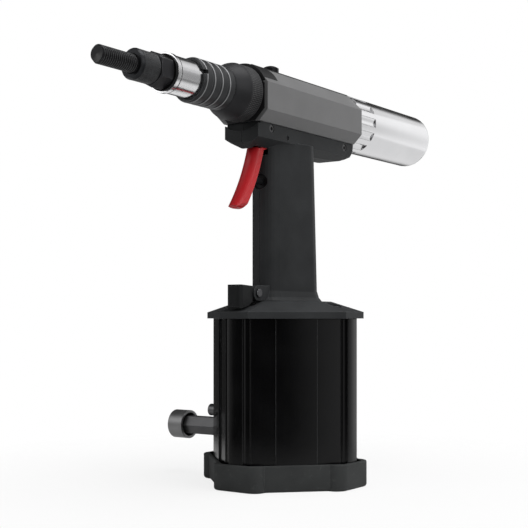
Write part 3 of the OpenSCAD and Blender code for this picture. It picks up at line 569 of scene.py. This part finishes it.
class RIVET_OT_nose(bpy.types.Operator):
    """Turn the thread and the knurls, and finish the nose"""

    bl_idname = "rivet.nose"
    bl_label = "Nose"

    def execute(self, context):
        look = context.scene.tool_finish
        black = finish("black_oxide", (0.034, 0.034, 0.037), 0.34, 0.6, grain=1800.0, depth=0.04)
        # The bright nose's edges carry painted shade, a dark line where the bevel rounds them.
        bright = finish("bright_nose", (0.66, 0.66, 0.67), 0.17, 1.0, brushed=(2600.0, 10.0, 10.0),
                        vary=0.05, edge=0.35, painted_edge_shading=0.8, edge_shading_colour=(0.06, 0.06, 0.06))
        self.thread(look)
        self.anvil()
        self.ring(look)
        self.ribs()
        paint(black, "lock_nut")
        paint(bright, "nose_sleeve", "nose_ring")
        paint(finish("seal_rubber", (0.008, 0.008, 0.008), 0.5), "nose_seals")
        return {"FINISHED"}

    def thread(self, look):
        """Mandrel with a cut thread, with a painted highlight on its crests."""
        start, end, r = node_span("mandrel")
        pitch, edge = look.pitch, 0.9
        depth, slope, flat = 0.61 * pitch, 2.6, 0.15

        def cut(x, radius, angle):
            if radius < r - edge + 0.01:
                return 0.0
            turn = (x / pitch - angle / math.tau) % 1.0
            return depth * min(1.0, max(0.0, slope * abs(turn - 0.5) - flat))

        def crest(x, angle):
            return (1.0 - ((x / pitch - angle / math.tau).part() - 0.5).size().over(0.04, 0.24)) * 0.5

        walls = [(x, r) for x in span(start, end - edge, pitch / 8)]
        outline = [(start, 0.01), *walls, (end, r - edge), (end, 0.01)]
        # The thread's crests carry a painted highlight in a lighter colour.
        material = finish("thread_black", (0.018, 0.018, 0.019), 0.36, 0.5, painted_highlight=crest,
                          highlight_colour=(0.10, 0.10, 0.10))
        fitted(lathe("mandrel_thread", outline, cut, 96), "mandrel", "mandrel", material)

    def anvil(self):
        """Nosepiece with a crossed knurl."""
        start, end, r = node_span("anvil")
        head_l, bore, stem = 15.0, 5.3, 6.8
        head = end - head_l
        cut, crest = knurl(48, 5.2, 0.22, r, (head + 1.2, end - 2.0))
        # The anvil's knurl crests carry a painted highlight in a lighter colour.
        material = finish("anvil_black", (0.024, 0.025, 0.027), 0.36, 0.5, painted_highlight=crest,
                          highlight_colour=(0.13, 0.13, 0.13))
        walls = [(x, r) for x in span(head + 0.8, end - 1.6, 0.12)]
        outline = [(start, bore), (start, stem), (head, stem), (head, r - 0.5), *walls,
                   (end, r - 1.2), (end, bore)]
        fitted(lathe("anvil_knurled", outline, cut, 384), "anvil", "tool", material)

    def ring(self, look):
        """Adjusting ring with a crossed knurl."""
        start, end, r = node_span("knurled_ring")
        bore, knurl_l, front = 10.7, 12.5, 12.9
        cut, crest = knurl(look.knurls, 2.2, 0.26, r, (start + 1.0, start + knurl_l - 1.4))
        # The ring's knurl crests carry a painted highlight in a lighter colour.
        material = finish("ring_grey", (0.033, 0.033, 0.035), 0.44, 0.2, painted_highlight=crest,
                          highlight_colour=(0.14, 0.14, 0.14))
        walls = [(x, r) for x in span(start + 0.6, start + knurl_l - 1.0, 0.16)]
        outline = [(start, bore), (start, r - 0.6), *walls, (start + knurl_l + 0.8, r - 0.5),
                   (end - 0.6, front), (end, front - 0.6), (end, bore)]
        fitted(lathe("ring_knurled", outline, cut, 576), "knurled_ring", "dial", material)

    def ribs(self):
        """Sleeve whose ribs carry a painted highlight at their front edges."""
        start, end, _ = node_span("ribbed_sleeve")
        ribs, front, highlight_level = 4, 0.82, 0.7
        pitch = (end - start - 1.0) / ribs

        def edge(x, angle):
            return (1.0 - (((x - start) / pitch).part() - front).size().over(0.02, 0.05)) * highlight_level

        # The ribs' front edges carry a painted highlight, a thin pale line.
        paint(finish("sleeve_grey", (0.041, 0.042, 0.044), 0.42, 0.3, brushed=(1800.0, 9.0, 9.0),
                     depth=0.03, painted_highlight=edge, highlight_colour=(0.42, 0.42, 0.43)), "ribbed_sleeve")


class RIVET_OT_motor(bpy.types.Operator):
    """Finish the bright motor housing"""

    bl_idname = "rivet.motor"
    bl_label = "Air motor"

    def execute(self, context):
        # Painted shade: the flutes' edges turn dark in a thin line, since keen is set low.
        bright = finish("bright_cup", (0.62, 0.62, 0.63), 0.17, 1.0, brushed=(2600.0, 8.0, 8.0),
                        vary=0.04, edge=0.5, painted_edge_shading=0.8, edge_shading_colour=(0.06, 0.06, 0.06), keen=(0.001, 0.015))
        paint(bright, "motor_housing")
        return {"FINISHED"}


class RIVET_OT_works(bpy.types.Operator):
    """Finish the pieces inside the tool"""

    bl_idname = "rivet.works"
    bl_label = "Inner works"

    def execute(self, context):
        steel = finish("ground_steel", (0.42, 0.42, 0.43), 0.30, 1.0, vary=0.06)
        paint(steel, "pressure_tube", "plunger_rod", "pull_piston", "drive_shaft", "gear_case",
              "motor_front_plate", "motor_liner", "rotor", "motor_rear_plate", "mandrel_chuck")
        paint(finish("machined_aluminium", (0.5, 0.5, 0.51), 0.35, 1.0), "end_cover", "air_piston")
        paint(finish("machined_brass", (0.5, 0.34, 0.12), 0.30, 1.0), "gland_bush", "cylinder_gland")
        self.springs(finish("spring_wire", (0.32, 0.32, 0.33), 0.34, 1.0))
        paint(finish("seal_black", (0.01, 0.01, 0.01), 0.55), "piston_seal", "piston_ring")
        paint(finish("valve_black", (0.012, 0.012, 0.013), 0.45), "valve_body", "valve_stem")
        paint(finish("laminate", (0.22, 0.11, 0.04), 0.6, grain=700.0), "vanes")
        paint(finish("foam", (0.2, 0.2, 0.2), 0.9, grain=500.0, depth=0.3), "silencer")
        return {"FINISHED"}

    def springs(self, material):
        """Coils of round wire in the place of the springs that the joints list as deforming."""
        # Each spring's wire radius in millimetres, and its turns
        windings = {"return_spring": (1.5, 7), "pull_spring": (1.4, 6), "valve_spring": (0.35, 3)}
        for joint in frame["record"]["behaviour"]["joints"]:
            for spring in joint.get("deforming_nodes", ()):
                node, mode = spring["node"], spring["mode"]
                axis = "xyz".index(mode[-1])
                wire, turns = windings[node]
                low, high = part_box(node)
                fixed = (Vector(low) + Vector(high)) / 2.0
                fixed[axis] = spring[f"fixed_end_{mode[-1]}_m"]
                piece = coil(f"{node}_coil", node, axis, wire * MM, turns)
                fitted(piece, node, "tool", material)
                [float(i == axis) for i in range(3)]
                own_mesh(piece)


class RIVET_OT_stage(bpy.types.Operator):
    """Set up the floor, the light and the camera"""

    bl_idname = "rivet.stage"
    bl_label = "Studio"

    def execute(self, context):
        stage = context.scene.tool_stage
        self.floor()
        self.room(context, stage)
        target = Vector((0.0, 0.0, 0.14))
        self.light("key", (0.05, 1.15, 0.65), target, (0.9, 0.8), stage.key)
        self.light("back", (-1.15, 0.62, 0.34), target, (1.5, 1.0), stage.back)
        self.light("top", (-0.1, 0.3, 1.25), target, (0.8, 0.8), stage.top)
        self.light("fill", (1.0, -0.6, 0.7), target, (0.5, 0.9), stage.fill)
        self.camera(context, stage)
        return {"FINISHED"}

    def floor(self):
        """Pale floor that fades out round the tool and shows the camera its shadow faintly."""
        size, faintness = 0.6, 0.82
        mesh = bpy.data.meshes.new("floor")
        corners = [(-size, -size, 0), (size, -size, 0), (size, size, 0), (-size, size, 0)]
        mesh.from_pydata(corners, [], [(0, 1, 2, 3)])
        floor = bpy.data.objects.new("floor", mesh)
        bpy.context.scene.collection.objects.link(floor)
        material = bpy.data.materials.new("floor")
        s = Shading(material)
        place = s.place()
        away = s.add("ShaderNodeVectorMath", {"operation": "LENGTH"}, 1, Vector=place)
        pale = s.add("ShaderNodeBsdfDiffuse", Color=(0.9, 0.9, 0.9, 1.0))
        clear = s.add("ShaderNodeBsdfTransparent")
        seen = s.add("ShaderNodeLightPath", output=0)
        cover = (1.0 - away.over(0.10, 0.30)) * (1.0 - seen * faintness)
        s.surface(s.blend(cover, clear, pale))
        mesh.materials.append(material)

    def room(self, context, stage):
        """White for the camera, walls with dark screens for shiny pieces, and a dimmer room as light."""
        world = bpy.data.worlds.new("studio")
        context.scene.world = world
        s = Shading(world)
        seen = s.add("ShaderNodeLightPath", output=0)
        mirrored = s.add("ShaderNodeLightPath", output=3)
        view = s.add("ShaderNodeTexCoord")
        x, y, z = s.parts(view)
        screens = (
            (-y).over(0.0, 0.14) * (1.0 - x.over(0.1, 0.3)) * z.over(-0.35, -0.15),
            y.over(0.45, 0.6) * (1.0 - x.over(0.0, 0.15)),
            x.over(0.3, 0.6) * y.over(-0.74, -0.66) * z.over(-0.35, -0.15) * (1.0 - z.over(0.1, 0.3)),
            z.over(0.6, 0.8),
        )
        screen_level = 0.04
        lit = 1.0
        for screen in screens:
            lit = lit * (1.0 - screen)
        pale = (1.0, 1.0, 1.0, 1.0)
        room = s.add("ShaderNodeBackground", Color=pale, Strength=stage.room)
        walls = s.add("ShaderNodeBackground", Color=pale, Strength=stage.walls)
        white = s.add("ShaderNodeBackground", Color=pale, Strength=1.0)
        dim = s.add("ShaderNodeBackground", Color=pale, Strength=screen_level)
        shown = s.blend(mirrored, room, s.blend(lit, dim, walls))
        s.surface(s.blend(seen, shown, white), "ShaderNodeOutputWorld")

    def light(self, name, place, target, size, power):
        """Soft rectangular light that faces a point."""
        data = bpy.data.lights.new(name, "AREA")
        data.shape = "RECTANGLE"
        data.size, data.size_y = size
        data.energy = power
        lamp = bpy.data.objects.new(name, data)
        lamp.location = place
        lamp.rotation_euler = (target - Vector(place)).to_track_quat("-Z", "Y").to_euler()
        lamp.visible_camera = False
        bpy.context.scene.collection.objects.link(lamp)

    def camera(self, context, stage):
        """Level camera with its horizon lowered, as in the photograph."""
        ahead = Vector((-0.819, -0.574, 0.0))
        data = bpy.data.cameras.new("camera")
        data.lens = stage.lens
        data.sensor_width = 36.0
        data.shift_y = 0.102
        data.clip_start = 0.01
        camera = bpy.data.objects.new("camera", data)
        camera.location = stage.camera
        camera.rotation_euler = ahead.to_track_quat("-Z", "Y").to_euler()
        context.scene.collection.objects.link(camera)
        context.scene.camera = camera
        context.scene.view_settings.view_transform = "Standard"


OPERATORS = (RIVET_OT_base, RIVET_OT_body, RIVET_OT_controls, RIVET_OT_nose, RIVET_OT_motor,
             RIVET_OT_works, RIVET_OT_stage)


class RIVET_PT_panel(bpy.types.Panel):
    """Lists the steps that dress the tool"""

    bl_idname = "RIVET_PT_panel"
    bl_label = "Rivet nut tool"
    bl_space_type = "VIEW_3D"
    bl_region_type = "UI"
    bl_category = "Rivet nut tool"

    def draw(self, context):
        for group in (context.scene.tool_finish, context.scene.tool_stage):
            for name in group.bl_rna.properties.keys():
                if name not in ("rna_type", "name"):
                    self.layout.prop(group, name)
        for operator in OPERATORS:
            self.layout.operator(operator.bl_idname)


CLASSES = (ToolFinish, ToolStage, *OPERATORS, RIVET_PT_panel)


def register():
    for cls in CLASSES:
        bpy.utils.register_class(cls)
    bpy.types.Scene.tool_finish = bpy.props.PointerProperty(type=ToolFinish)
    bpy.types.Scene.tool_stage = bpy.props.PointerProperty(type=ToolStage)


def unregister():
    del bpy.types.Scene.tool_stage
    del bpy.types.Scene.tool_finish
    for cls in reversed(CLASSES):
        bpy.utils.unregister_class(cls)


def main():
    register()
    bpy.ops.rivet.base()
    bpy.ops.rivet.body()
    bpy.ops.rivet.controls()
    bpy.ops.rivet.nose()
    bpy.ops.rivet.motor()
    bpy.ops.rivet.works()
    bpy.ops.rivet.stage()
    bpy.context.view_layer.update()


if __name__ == "__main__":
    main()
